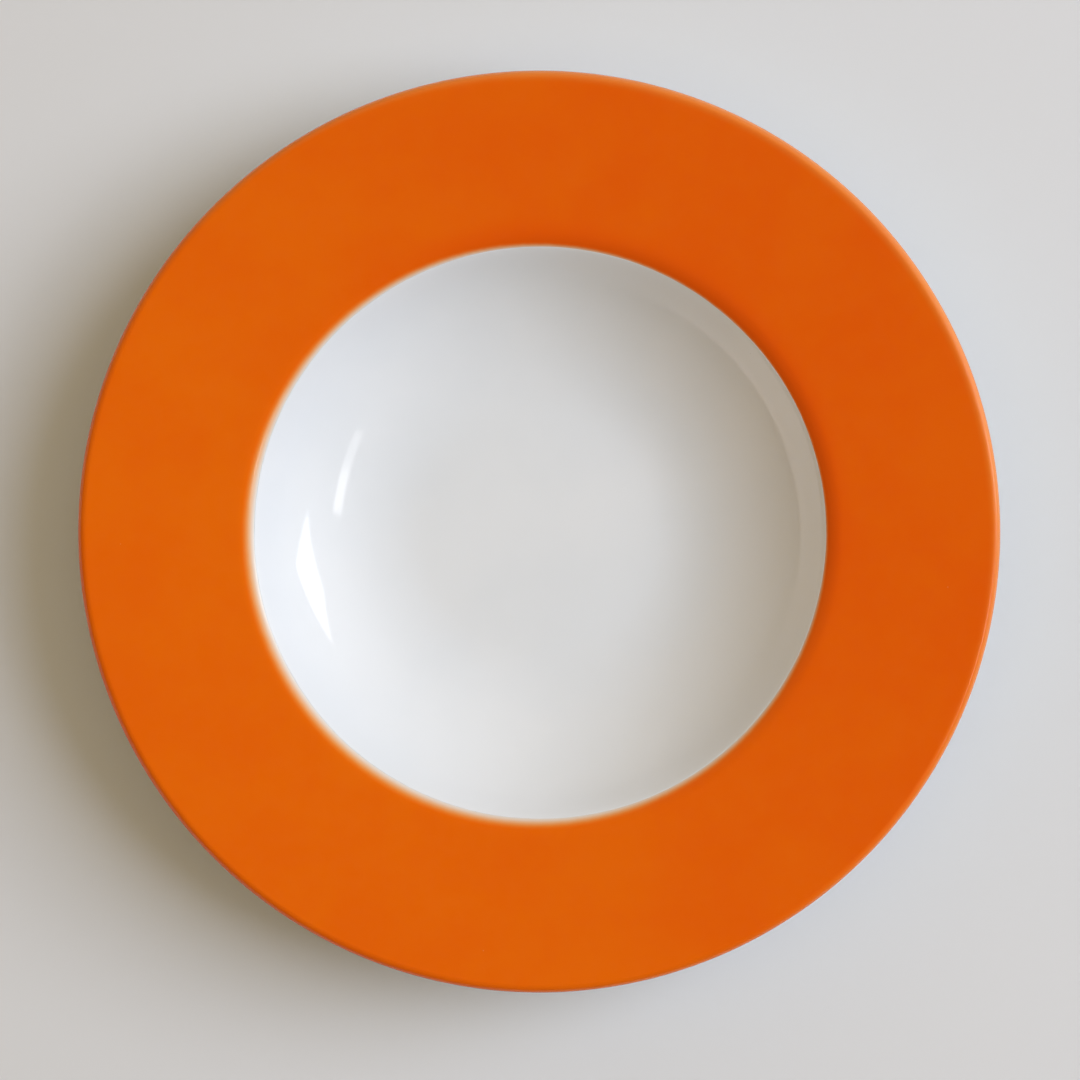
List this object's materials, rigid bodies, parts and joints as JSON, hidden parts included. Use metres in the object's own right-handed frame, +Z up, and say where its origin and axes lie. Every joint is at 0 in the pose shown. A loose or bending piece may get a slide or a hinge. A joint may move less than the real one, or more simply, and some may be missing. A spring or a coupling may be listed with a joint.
{
  "type": "rimmed soup plate",
  "caption": "Round rimmed soup plate: a deep curved white well, a wide gently rising coloured rim with a rounded lip, and a low foot ring.",
  "frame": {"origin": "centre of the foot ring's standing face, on the table", "axes": "+Z up along the plate's axis; the plate is round, so X and Y are alike"},
  "size_m": [0.23, 0.23, 0.032],
  "materials": {
    "bare_porcelain": "matte",
    "orange_enamel": "gloss",
    "white_glaze": "gloss"
  },
  "bodies": {
    "root": {"porcelain_body": "bare_porcelain", "rim_enamel": "orange_enamel", "well_glaze": "white_glaze", "underside_glaze": "white_glaze", "base_glaze": "white_glaze"}
  },
  "joints": []
}
